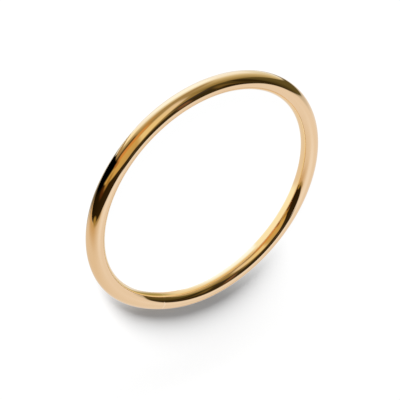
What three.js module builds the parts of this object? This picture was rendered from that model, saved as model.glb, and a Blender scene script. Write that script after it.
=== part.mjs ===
// A plain round-wire bangle in polished yellow gold, lying on its side. Millimetres, +Z up.
// It is one solid: a length of round wire bent to a ring, whose two ends are soldered together
// and filed flush. The origin is the middle of the ring's outline, on the surface it lies on.
import * as THREE from "three";

// Driving dimensions
const INSIDE_DIAMETER = 60;
const WIRE_DIAMETER = 4.5;

// The joint: the wire's ends stay a little straighter than the bend, and filing thins them.
const JOINT_ANGLE = THREE.MathUtils.degToRad(24);
const JOINT_SPREAD = THREE.MathUtils.degToRad(24.5);
const JOINT_INSET = 0.6;
const JOINT_THINNING = 0.055;

// How finely the round shapes are divided
const WIRE_SIDES = 24;
const RING_STEPS = 120;

const wireRadius = WIRE_DIAMETER / 2;
const bendRadius = INSIDE_DIAMETER / 2 + wireRadius;

// The wire's section, a many-sided outline with a flat side below, above, inside and outside.
// It is drawn in the plane of radius and height, and closes on its first point.
function wireSection() {
  const sideAngle = (2 * Math.PI) / WIRE_SIDES;
  const cornerRadius = wireRadius / Math.cos(sideAngle / 2);
  const corners = [];
  for (let side = 0; side < WIRE_SIDES; side += 1) {
    const angle = (side + 0.5) * sideAngle;
    const fromAxis = bendRadius + cornerRadius * Math.cos(angle);
    const height = wireRadius + cornerRadius * Math.sin(angle);
    corners.push(new THREE.Vector2(fromAxis, height));
  }
  corners.push(corners[0].clone());
  return corners;
}

// How strongly the joint shows at an angle round the ring: 1 at the solder, fading to 0.
function jointStrength(angle) {
  const turn = 2 * Math.PI;
  const away = THREE.MathUtils.euclideanModulo(angle - JOINT_ANGLE + Math.PI, turn) - Math.PI;
  return Math.exp(-((away / JOINT_SPREAD) ** 2));
}

// Draws the wire in towards the middle near the joint, and thins it there from both sides.
// Heights stay as they are, so the ring still lies flat.
function dressJoint(geometry) {
  const position = geometry.attributes.position;
  for (let i = 0; i < position.count; i += 1) {
    const x = position.getX(i);
    const y = position.getY(i);
    const fromAxis = Math.hypot(x, y);
    const strength = jointStrength(Math.atan2(y, x));
    const offset = (fromAxis - bendRadius) * (1 - JOINT_THINNING * strength);
    const dressed = bendRadius - JOINT_INSET * strength + offset;
    position.setX(i, (x * dressed) / fromAxis);
    position.setY(i, (y * dressed) / fromAxis);
  }
}

// Moves the ring so that the middle of its outline, at its lowest point, is the origin.
function standOnOrigin(geometry) {
  geometry.computeBoundingBox();
  const middle = geometry.boundingBox.getCenter(new THREE.Vector3());
  geometry.translate(-middle.x, -middle.y, -geometry.boundingBox.min.z);
}

function makeRing() {
  const geometry = new THREE.LatheGeometry(wireSection(), RING_STEPS);
  geometry.rotateX(Math.PI / 2);
  dressJoint(geometry);
  standOnOrigin(geometry);
  geometry.computeVertexNormals();
  const polishedGold = new THREE.MeshStandardMaterial({ color: "#e6bd8e", roughness: 0.08, metalness: 1 });
  const ring = new THREE.Mesh(geometry, polishedGold);
  ring.name = "bangle_ring";
  return ring;
}

const bangle = new THREE.Group();
bangle.add(makeRing());

export default bangle;
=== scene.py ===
"""A polished gold bangle lying on a white table, inside a small light tent."""
import math

import bmesh
import bpy
from mathutils import Matrix, Vector


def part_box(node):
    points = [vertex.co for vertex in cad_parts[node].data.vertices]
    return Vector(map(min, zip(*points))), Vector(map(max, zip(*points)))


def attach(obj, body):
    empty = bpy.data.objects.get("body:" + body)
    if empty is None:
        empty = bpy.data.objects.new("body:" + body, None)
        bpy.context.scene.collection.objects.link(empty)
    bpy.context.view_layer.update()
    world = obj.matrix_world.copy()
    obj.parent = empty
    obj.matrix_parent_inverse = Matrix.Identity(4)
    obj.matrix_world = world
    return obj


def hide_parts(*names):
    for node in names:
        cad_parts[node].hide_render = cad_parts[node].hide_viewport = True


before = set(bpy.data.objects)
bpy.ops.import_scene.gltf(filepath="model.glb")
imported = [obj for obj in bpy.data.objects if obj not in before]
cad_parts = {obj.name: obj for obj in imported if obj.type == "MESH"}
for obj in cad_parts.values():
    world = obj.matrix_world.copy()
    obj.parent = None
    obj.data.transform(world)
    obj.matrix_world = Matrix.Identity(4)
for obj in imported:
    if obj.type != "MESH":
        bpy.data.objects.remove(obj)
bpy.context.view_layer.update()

MM = 0.001
RING_NODE = "bangle_ring"
ring_low, ring_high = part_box(RING_NODE)

# The wire and its bend, from the solid's own box.
wire_radius = (ring_high.z - ring_low.z) / 2
bend_radius = ring_high.y - wire_radius

# The soldered joint, as on the solid: the ends stay a little straighter, and filing thins them.
JOINT_ANGLE = math.radians(24)
JOINT_SPREAD = math.radians(24.5)
JOINT_INSET = 0.6 * MM
JOINT_THINNING = 0.055

# The solder: how far along the wire it lies from the joint's middle, how wide it is at full
# strength and where it has faded out, all in mm along the wire.
SEAM_ALONG = 2.0
SEAM_CORE = 0.1
SEAM_WIDTH = 0.8

# The polish: buffing lines, in mm along and across the wire, and patches of haze.
LINE_LENGTH = 12
LINE_WIDTH = 0.2
HAZE_SIZE = 9 * MM

# Facets of the smooth ring: a mirror finish shows every flat that is wider than about 0.3 mm.
WIRE_SIDES = 80
RING_STEPS = 600


# ---------------------------------------------------------------- small helpers

def linear(hex_colour, light=1.0):
    """An sRGB hex colour as linear red, green, blue and alpha, times a brightness."""
    channels = [int(hex_colour[i:i + 2], 16) / 255 for i in (1, 3, 5)]
    straight = [c / 12.92 if c <= 0.04045 else ((c + 0.055) / 1.055) ** 2.4 for c in channels]
    return [c * light for c in straight] + [1.0]


def add_node(tree, kind, inputs=None, **settings):
    """Adds a node, sets its properties, and sets or links its inputs by name or number."""
    node = tree.nodes.new(kind)
    for name, value in settings.items():
        setattr(node, name, value)
    for name, value in (inputs or {}).items():
        if isinstance(value, bpy.types.NodeSocket):
            tree.links.new(value, node.inputs[name])
        else:
            node.inputs[name].default_value = value
    return node


def empty_material(name):
    """A new material with no nodes in it, and its tree."""
    material = bpy.data.materials.new(name)
    material.use_nodes = True
    material.node_tree.nodes.clear()
    return material, material.node_tree


def fade(tree, value, full, none):
    """1 where the value is at `full` or beyond, 0 at `none`, and smooth between."""
    return add_node(tree, "ShaderNodeMapRange", {
        "Value": value, "From Min": full, "From Max": none, "To Min": 1.0, "To Max": 0.0,
    }, interpolation_type="SMOOTHSTEP").outputs[0]


def add_object(name, mesh):
    """Turns a bmesh into an object at the origin."""
    data = bpy.data.meshes.new(name)
    mesh.to_mesh(data)
    mesh.free()
    obj = bpy.data.objects.new(name, data)
    bpy.context.scene.collection.objects.link(obj)
    return obj


# ---------------------------------------------------------------- the ring

def joint_strength(angle):
    """1 at the solder, fading to 0 along the wire on both sides."""
    away = (angle - JOINT_ANGLE + math.pi) % math.tau - math.pi
    return math.exp(-((away / JOINT_SPREAD) ** 2))


def dress_joint(mesh):
    """Draws the wire in towards the middle near the joint and thins it from both sides."""
    for vert in mesh.verts:
        from_axis = math.hypot(vert.co.x, vert.co.y)
        strength = joint_strength(math.atan2(vert.co.y, vert.co.x))
        offset = (from_axis - bend_radius) * (1 - JOINT_THINNING * strength)
        dressed = bend_radius - JOINT_INSET * strength + offset
        vert.co.x *= dressed / from_axis
        vert.co.y *= dressed / from_axis


def middle_of(mesh):
    """The middle of the mesh's outline, seen from above."""
    xs = [vert.co.x for vert in mesh.verts]
    ys = [vert.co.y for vert in mesh.verts]
    return Vector(((min(xs) + max(xs)) / 2, (min(ys) + max(ys)) / 2, 0))


def wire_angles(point):
    """The angle along the ring from the joint, and the angle round the wire's section."""
    along = (math.atan2(point.y, point.x) - JOINT_ANGLE) % math.tau
    around = math.atan2(point.z - wire_radius, math.hypot(point.x, point.y) - bend_radius)
    return along, around


def near(angle, other):
    """The same angle, less or more whole turns, within half a turn of the other."""
    return other + (angle - other + math.pi) % math.tau - math.pi


def unroll(mesh):
    """Gives the ring a UV map in millimetres: U runs along the wire, V round it."""
    layer = mesh.loops.layers.uv.new("wire_mm")
    angles = {vert: wire_angles(vert.co) for vert in mesh.verts}
    for face in mesh.faces:
        along_middle, round_middle = wire_angles(face.calc_center_median())
        for loop in face.loops:
            along, around = angles[loop.vert]
            loop[layer].uv = (
                near(along, along_middle) * bend_radius / MM,
                near(around, round_middle) * wire_radius / MM,
            )


def make_ring():
    """One length of round wire, bent round into a ring. Returns it and the bend's middle."""
    mesh = bmesh.new()
    bmesh.ops.create_circle(mesh, segments=WIRE_SIDES, radius=wire_radius)
    bmesh.ops.rotate(mesh, verts=mesh.verts, matrix=Matrix.Rotation(math.pi / 2, 3, "X"))
    bmesh.ops.translate(mesh, verts=mesh.verts, vec=(bend_radius, 0, wire_radius))
    bmesh.ops.spin(
        mesh, geom=mesh.verts[:] + mesh.edges[:], cent=(0, 0, 0), axis=(0, 0, 1),
        angle=math.tau, steps=RING_STEPS, use_merge=True,
    )
    unroll(mesh)
    dress_joint(mesh)
    shift = middle_of(mesh)
    bmesh.ops.translate(mesh, verts=mesh.verts, vec=-shift)
    bmesh.ops.recalc_face_normals(mesh, faces=mesh.faces)
    for face in mesh.faces:
        face.smooth = True
    ring = add_object("gold_ring", mesh)
    return ring, Vector((-shift.x, -shift.y, wire_radius))


def polished_gold():
    """Yellow gold, buffed to a mirror with a mop and rouge. Pale and slightly peachy under white
    light, with nothing on it but faint lines along the wire, where the mop ran, a breath of haze
    that comes and goes, and the hair-thin line of solder across the wire."""
    material, tree = empty_material("mirror_buffed_yellow_gold")
    wire_uv = add_node(tree, "ShaderNodeUVMap", uv_map="wire_mm").outputs["UV"]

    # Buffing lines, drawn coarser than real ones, which are too fine to show.
    lines_place = add_node(tree, "ShaderNodeMapping", {
        "Vector": wire_uv, "Scale": (1 / LINE_LENGTH, 1 / LINE_WIDTH, 1)}).outputs[0]
    lines = add_node(tree, "ShaderNodeTexNoise", {
        "Vector": lines_place, "Scale": 1.0, "Detail": 2.0}).outputs[0]

    # Haze in patches, where the rouge was wiped off less well.
    place = add_node(tree, "ShaderNodeTexCoord").outputs["Object"]
    haze = add_node(tree, "ShaderNodeTexNoise", {
        "Vector": place, "Scale": 1 / HAZE_SIZE, "Detail": 3.0}).outputs[0]

    both = add_node(tree, "ShaderNodeMath", {0: lines, 1: haze}, operation="MULTIPLY").outputs[0]
    rough = add_node(tree, "ShaderNodeMapRange", {
        "Value": both, "From Min": 0.15, "From Max": 0.40, "To Min": 0.015, "To Max": 0.045}).outputs[0]
    colour = add_node(tree, "ShaderNodeMix", {
        "Factor": haze, "A": linear("#F9DAB4"), "B": linear("#F7D6AC")}, data_type="RGBA").outputs[2]
    scratched = add_node(tree, "ShaderNodeBump", {
        "Height": lines, "Strength": 0.02, "Distance": 0.05 * MM}).outputs[0]

    # The solder: a little paler than the gold, and rubbed down 0.02 mm below it.
    along = add_node(tree, "ShaderNodeSeparateXYZ", {0: wire_uv}).outputs["X"]
    from_seam = add_node(tree, "ShaderNodeMath", {0: along, 1: SEAM_ALONG}, operation="SUBTRACT").outputs[0]
    either_side = add_node(tree, "ShaderNodeMath", {0: from_seam}, operation="ABSOLUTE").outputs[0]
    seam = fade(tree, either_side, SEAM_CORE / 2, SEAM_WIDTH / 2)
    soldered = add_node(tree, "ShaderNodeMix", {
        "Factor": seam, "A": colour, "B": linear("#FADFBE")}, data_type="RGBA").outputs[2]
    grooved = add_node(tree, "ShaderNodeBump", {
        "Height": seam, "Strength": 0.35, "Distance": 0.02 * MM,
        "Normal": scratched}, invert=True).outputs[0]
    shader = add_node(tree, "ShaderNodeBsdfPrincipled", {
        "Base Color": soldered, "Metallic": 1.0, "Roughness": rough, "Normal": grooved})
    add_node(tree, "ShaderNodeOutputMaterial", {"Surface": shader.outputs[0]})
    return material


ring, ring_middle = make_ring()
ring.data.materials.append(polished_gold())
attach(ring, "root")
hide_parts(RING_NODE)


# ---------------------------------------------------------------- the camera

SENSOR_WIDTH = 36
LENS = 105
CAMERA_ELEVATION = math.radians(38.83)
CAMERA_ROLL = math.radians(132.7)

# From the ring's middle to the camera, along the camera's own right, up and back.
CAMERA_OFFSET = Vector((-1.865, -0.979, 288.4)) * MM


def make_camera():
    """Looks down at the ring from the front, rolled over, through a long lens."""
    data = bpy.data.cameras.new("camera")
    data.sensor_width = SENSOR_WIDTH
    data.lens = LENS
    camera = bpy.data.objects.new("camera", data)
    bpy.context.scene.collection.objects.link(camera)
    tilted = Matrix.Rotation(math.pi / 2 - CAMERA_ELEVATION, 3, "X")
    turned = tilted @ Matrix.Rotation(CAMERA_ROLL, 3, "Z")
    camera.matrix_world = Matrix.Translation(ring_middle + turned @ CAMERA_OFFSET) @ turned.to_4x4()
    bpy.context.scene.camera = camera


make_camera()


# ---------------------------------------------------------------- the light tent

TENT_RADIUS = 190 * MM

# The tent is painted on its plan: each point of it is as far from the crown, in degrees, as it is
# on the dome, and 90 degrees out is the horizon. Under everything lies the white of the table.
TABLE_GLOW = ("#E6F4FF", 1.28)

# What hangs in the tent, back to front. A board has straight edges, each given by the way that it
# faces, how far out it is, and how soft. A disc has a middle, a width and height, a turn and a soft
# rim. Each has a tone, which is a colour and a brightness, or two tones and where the one turns
# into the other: along which way, from where and to where.
PANELS = [
    dict(name="far_glow", disc=(-96, -100, 150, 60, -50), rim=0.25, tone=("#DCF0FF", 1.5)),
    dict(name="cream_corner", disc=(-112, 30, 34, 40, 0), rim=0.6, tone=("#F6FFF6", 0.9)),
    dict(name="cream_haze", disc=(26, 4, 261, 267, 0), rim=0.12, tone=("#FFF8CC", 0.68)),
    dict(name="room", disc=(36, 8, 234, 244, 0), rim=0.18,
         tone=("#FFE692", 0.315), other=("#FFE2A0", 0.38), along=(0, -81, 153)),
    dict(name="cream_end", disc=(32, -141, 84, 34, 0), rim=0.3, tone=("#FAFFEE", 1.1)),
    dict(name="grey_gap", edges=[(-8, 153, 4), (28, 153, 4), (64, 150, 5), (180, -20, 10), (-90, 50, 12)],
         tone=("#F4F4E4", 0.34)),
    dict(name="soft_box", edges=[(-124, -18, 2), (-8, 143, 4), (28, 143, 4), (64, 143, 6)],
         tone=("#FFFCFA", 0.85), other=("#FFF6E8", 0.79), along=(-25, 0, 60)),
    dict(name="soft_box_wing", edges=[(-110, -27, 3), (0, 30, 10), (64, 143, 6)],
         tone=("#FFFCFA", 0.85), other=("#FFF6E8", 0.79), along=(-25, 0, 60)),
    dict(name="hot_spot", disc=(10, 30, 44, 26, -35), rim=0.7, tone=("#F5F8FF", 1.0)),
    dict(name="warm_edge", edges=[(-124, -18, 3), (58, 30, 18), (180, -46, 24), (-8, 143, 5)],
         tone=("#FFDA98", 0.6)),
    dict(name="tip_shade", edges=[(-122, -9, 4), (58, 22, 10), (0, -44, 8)], tone=("#FFFCF2", 0.6)),
    dict(name="seam", disc=(26, 90, 56, 18, 15), rim=0.6, tone=("#FFEED8", 0.7)),
    dict(name="right_wall", edges=[(180, -124, 8), (90, -25, 14), (0, 178, 5)], tone=("#FFFCEC", 0.08)),
    dict(name="olive_lip", edges=[(56, 22, 2), (180, -34, 5), (0, 66, 8)], tone=("#FFE2A4", 0.42)),
    dict(name="dark_side", edges=[(56, 18, 1.5), (180, -5, 4), (0, 160, 8), (-90, 100, 10)],
         tone=("#FFC870", 0.03), other=("#FFD050", 0.015), along=(-40, 40, 110)),
    dict(name="brown_glow", disc=(57, -54, 14, 26, 39), rim=0.6, tone=("#FFA050", 0.09)),
    dict(name="olive_tip", disc=(66, -25, 22, 8, -42), rim=0.4, tone=("#FFD870", 0.38)),
    dict(name="back_wall_corner", edges=[(-151, 57.5, 4), (54, 6.5, 2), (0, -45, 5)],
         tone=("#FFF4A0", 0.11)),
    dict(name="back_wall", edges=[(-151, 57.5, 4), (72, 28.5, 2), (0, -20, 6), (-90, 24, 4)],
         tone=("#FFEC90", 0.12), other=("#FFE080", 0.05), along=(0, -65, -40)),
    dict(name="ceiling_bump", edges=[(90, 33, 2), (46, 10, 2), (180, 36, 6), (-90, 12, 8)],
         tone=("#FFE090", 0.04)),
    dict(name="ceiling_beam", disc=(1, 20, 18, 14, -35), rim=0.25, tone=("#FFD070", 0.02)),
    dict(name="tan_card", edges=[(40.5, 0.2, 2), (122, -17.5, 4), (180, -2, 3), (-90, 74, 6)],
         tone=("#FFE39C", 0.56), other=("#FFDC84", 0.66), along=(-45, 10, 45)),
    dict(name="tan_card_tip", disc=(43, -54, 16, 20, 39), rim=0.6, tone=("#FFCC68", 0.42)),
    dict(name="cream_window", edges=[(0, 3, 3), (122, -16, 4), (-90, 66, 9), (180, 40, 8)],
         tone=("#FFF6E4", 0.8), other=("#FFF2BC", 0.87), along=(0, -36, -10)),
    dict(name="amber_haze", disc=(-48, -75, 84, 22, -35), rim=0.4,
         tone=("#FFE6A8", 0.38), other=("#FFC468", 0.62), along=(0, -30, -12)),
    dict(name="amber_board", edges=[(-90, 88, 7), (90, -66, 3), (180, 12, 6), (0, 33, 7)],
         tone=("#FFC470", 0.6), other=("#FFBA66", 0.7), along=(0, -20, 10)),
    dict(name="black_flag", edges=[(-156, 0.5, 2), (-90, 127, 2.5), (90, -72, 7), (0, 175, 8)],
         tone=("#000000", 0.0)),
    dict(name="amber_side", disc=(33, -68, 8, 18, 25), rim=0.6, tone=("#FFB460", 0.44)),
    dict(name="olive_streak", disc=(-35, 8, 44, 8, 66), rim=0.5, tone=("#FFDC80", 0.15)),
    dict(name="dark_streak", disc=(-47, 14, 58, 7, 66), rim=0.3, tone=("#FFD078", 0.03)),
    dict(name="dark_streak_two", disc=(-27, 24, 30, 7, 66), rim=0.35, tone=("#FFD078", 0.03)),
    dict(name="red_streak", disc=(-19, -2, 34, 6, 73), rim=0.5, tone=("#FFC28E", 0.19)),
    dict(name="dusk_patch", disc=(-30, -18, 28, 13, -15), rim=0.35, tone=("#FFE8D0", 0.055)),
]

# The round card inside the ring, in mm from its middle. Its glow is painted light for the table
# inside the ring, seen only in the gold: cream, with a painted hot band by the wall, painted gold
# bounce light in its middle and a darker olive patch. It lies just clear of the table.
CARD_HEIGHT = 0.05 * MM
CARD_CREAM = ("#FFF8E8", 0.84)
CARD_PATCHES = [
    dict(name="cool_side", edges=[(90, -2, 12)], tone=("#F0F6FF", 1.0)),
    dict(name="cool_rim", disc=(27, 8, 8, 8, 0), rim=0.4, tone=("#EEF7FF", 1.02)),
    dict(name="hot_band", edges=[(180, 0, 1.5), (-46, 0.5, 2)], tone=("#D4ECFF", 1.62)),
    # Painted bounce light: gold light thrown from the ring onto the table inside it.
    dict(name="gold_bounce", disc=(4, 8, 37, 37, 0), rim=0.16, tone=("#FFF2BC", 0.87)),
    dict(name="gold_middle", disc=(3, 6, 28, 28, 0), rim=0.35, tone=("#FFE2A0", 0.68)),
    dict(name="warm_middle", disc=(-4, 10, 18, 14, 0), rim=0.6, tone=("#FFD880", 0.66)),
    dict(name="bright_corner", edges=[(0, 1, 1.2), (-120, -12.5, 1.5), (180, 17, 2)],
         tone=("#F7FFED", 1.11)),
    dict(name="straw_patch", disc=(19, 19.5, 10, 5, -45), rim=0.7, tone=("#FFFDE4", 0.93)),
    dict(name="olive_patch", disc=(22.5, 13, 11, 5.5, -40), rim=0.6, tone=("#FFF39C", 0.41)),
]


def only_in_reflections(obj):
    """Seen in the gold, but not by the camera, and neither lighting nor shading the table."""
    obj.visible_camera = False
    obj.visible_diffuse = False
    obj.visible_transmission = False
    obj.visible_volume_scatter = False
    obj.visible_shadow = False


def reach(tree, plan, facing):
    """How far out a point of the plan is, along one way of facing."""
    way = (math.cos(math.radians(facing)), math.sin(math.radians(facing)), 0)
    return add_node(tree, "ShaderNodeVectorMath", {
        0: plan, 1: way}, operation="DOT_PRODUCT").outputs["Value"]


def panel_cover(tree, plan, panel):
    """1 on the panel, 0 off it, with its soft edges."""
    if "disc" in panel:
        x, y, width, height, turn = panel["disc"]
        local = add_node(tree, "ShaderNodeMapping", {
            "Vector": plan, "Location": (x, y, 0), "Rotation": (0, 0, math.radians(turn)),
            "Scale": (width / 2, height / 2, 1)}, vector_type="TEXTURE").outputs[0]
        out = add_node(tree, "ShaderNodeVectorMath", {0: local}, operation="LENGTH").outputs["Value"]
        return fade(tree, out, 1 - panel["rim"], 1 + panel["rim"])
    cover = 1.0
    for facing, far, soft in panel["edges"]:
        edge = fade(tree, reach(tree, plan, facing), far - soft, far + soft)
        cover = add_node(tree, "ShaderNodeMath", {0: edge, 1: cover}, operation="MULTIPLY").outputs[0]
    return cover


def paint_panel(tree, plan, under, panel):
    """Lays one panel over the colour under it."""
    colour = linear(*panel["tone"])
    if "other" in panel:
        turn, first, last = panel["along"]
        share = add_node(tree, "ShaderNodeMapRange", {
            "Value": reach(tree, plan, turn), "From Min": first, "From Max": last}).outputs[0]
        colour = add_node(tree, "ShaderNodeMix", {
            "Factor": share, "A": colour, "B": linear(*panel["other"])}, data_type="RGBA").outputs[2]
    cover = panel_cover(tree, plan, panel)
    return add_node(tree, "ShaderNodeMix", {
        "Factor": cover, "A": under, "B": colour}, data_type="RGBA", label=panel["name"]).outputs[2]


def tent_plan(tree):
    """Where the ray points, from the ring's middle, on the tent's plan in degrees from the crown."""
    place = add_node(tree, "ShaderNodeTexCoord").outputs["Object"]
    middle = add_node(tree, "ShaderNodeMapping", {"Vector": place, "Location": -ring_middle}).outputs[0]
    toward = add_node(tree, "ShaderNodeVectorMath", {0: middle}, operation="NORMALIZE").outputs[0]
    height = add_node(tree, "ShaderNodeSeparateXYZ", {0: toward}).outputs["Z"]
    angle = add_node(tree, "ShaderNodeMath", {0: height}, operation="ARCCOSINE").outputs[0]
    from_crown = add_node(tree, "ShaderNodeMath", {0: angle}, operation="DEGREES").outputs[0]
    level = add_node(tree, "ShaderNodeVectorMath", {
        0: toward, 1: (1, 1, 0)}, operation="MULTIPLY").outputs[0]
    flat = add_node(tree, "ShaderNodeVectorMath", {0: level}, operation="NORMALIZE").outputs[0]
    return add_node(tree, "ShaderNodeVectorMath", {
        0: flat, "Scale": from_crown}, operation="SCALE").outputs[0]


def glow_material(name, plan_of, ground, panels):
    """Light painted on a plan: a ground colour with panels over it."""
    material, tree = empty_material(name)
    plan = plan_of(tree)
    painted = linear(*ground)
    for panel in panels:
        painted = paint_panel(tree, plan, painted, panel)
    glow = add_node(tree, "ShaderNodeEmission", {"Color": painted})
    add_node(tree, "ShaderNodeOutputMaterial", {"Surface": glow.outputs[0]})
    return material


def card_plan(tree):
    """The plan of the card and of the table, in mm from the middle of the ring."""
    place = add_node(tree, "ShaderNodeTexCoord").outputs["Object"]
    return add_node(tree, "ShaderNodeVectorMath", {
        0: place, "Scale": 1 / MM}, operation="SCALE").outputs[0]


def make_tent():
    """A dome of lit fabric round the ring, closed below it as well."""
    mesh = bmesh.new()
    bmesh.ops.create_icosphere(mesh, subdivisions=5, radius=TENT_RADIUS)
    bmesh.ops.translate(mesh, verts=mesh.verts, vec=ring_middle)
    bmesh.ops.reverse_faces(mesh, faces=mesh.faces)
    tent = add_object("light_tent", mesh)
    tent.data.materials.append(glow_material("lit_tent_fabric", tent_plan, TABLE_GLOW, PANELS))
    only_in_reflections(tent)


def make_bounce_card():
    """A round white card inside the ring, glowing with painted light, which lights the inside of the wire.
    """
    mesh = bmesh.new()
    bmesh.ops.create_circle(mesh, cap_ends=True, segments=96, radius=bend_radius - wire_radius / 2)
    bmesh.ops.translate(mesh, verts=mesh.verts, vec=(0, 0, CARD_HEIGHT))
    card = add_object("bounce_card", mesh)
    card.data.materials.append(glow_material("card_of_painted_bounce_light", card_plan, CARD_CREAM, CARD_PATCHES))
    only_in_reflections(card)


# The table glows from below with painted light, and its acrylic is a deep grey that the painted
# glow turns white, which washes out the ring's shadow, except in a patch where the shadow is to
# show: there the painted glow is taken off, the acrylic is white, and the shadow that the lamp
# throws shows. The patch is in mm from the ring's middle, like the card's patches.
TABLE_SHADOW_PATCH = dict(disc=(35, 31, 42, 82, 40), rim=0.5)
TABLE_HALF_WIDTH = 3.0
PAINTED_GLOW_OPEN = 0.97
PAINTED_GLOW_IN_PATCH = 0.03


def make_table():
    """A light table: opal acrylic, plain white from every side through its painted glow, which leaves the
    lamp's shadow to show only in the shadow patch.
    """
    mesh = bmesh.new()
    bmesh.ops.create_grid(mesh, x_segments=1, y_segments=1, size=TABLE_HALF_WIDTH)
    table = add_object("light_table", mesh)
    material, tree = empty_material("table_painted_glow_shadow_patch")
    in_shadow_patch = panel_cover(tree, card_plan(tree), TABLE_SHADOW_PATCH)
    # Base colour: deep grey outside the shadow patch, so the painted glow rather than the lamp makes it
    # white, and white inside it, where the lamp's shadow shows.
    white = add_node(tree, "ShaderNodeMix", {
        "Factor": in_shadow_patch, "A": linear("#404040"), "B": linear("#F4F4F4")}, data_type="RGBA").outputs[2]
    # Painted light: the glow that turns the table white, taken off in the shadow patch.
    below = add_node(tree, "ShaderNodeMapRange", {
        "Value": in_shadow_patch, "To Min": PAINTED_GLOW_OPEN, "To Max": PAINTED_GLOW_IN_PATCH}).outputs[0]
    surface = add_node(tree, "ShaderNodeBsdfPrincipled", {
        "Base Color": white, "Roughness": 0.7, "Specular IOR Level": 0.2,
        "Emission Color": linear("#FFFFFF"), "Emission Strength": below})
    add_node(tree, "ShaderNodeOutputMaterial", {"Surface": surface.outputs[0]})
    table.data.materials.append(material)
    table.visible_glossy = False


# The lamp's distance and size are in metres and its power in watts.
LAMP_AZIMUTH = math.radians(255)
LAMP_ELEVATION = math.radians(18)
LAMP_DISTANCE = 0.8
LAMP_SIZE = 0.27
LAMP_POWER = 20.0
ROOM_LIGHT = 0.25


def make_room_light():
    """Even white light all round, and one large soft lamp behind the camera."""
    world = bpy.data.worlds.new("white_room")
    world.use_nodes = True
    background = world.node_tree.nodes["Background"]
    background.inputs["Color"].default_value = linear("#FFFFFF")
    background.inputs["Strength"].default_value = ROOM_LIGHT
    bpy.context.scene.world = world
    data = bpy.data.lights.new("soft_lamp", "AREA")
    data.shape = "DISK"
    data.size = LAMP_SIZE
    data.energy = LAMP_POWER
    lamp = bpy.data.objects.new("soft_lamp", data)
    bpy.context.scene.collection.objects.link(lamp)
    toward = Vector((math.cos(LAMP_AZIMUTH), math.sin(LAMP_AZIMUTH), math.tan(LAMP_ELEVATION)))
    toward.normalize()
    lamp.location = toward * LAMP_DISTANCE
    lamp.rotation_euler = toward.to_track_quat("Z", "Y").to_euler()
    lamp.visible_glossy = False


make_tent()
make_bounce_card()
make_table()
make_room_light()

bpy.context.scene.view_settings.view_transform = "Standard"
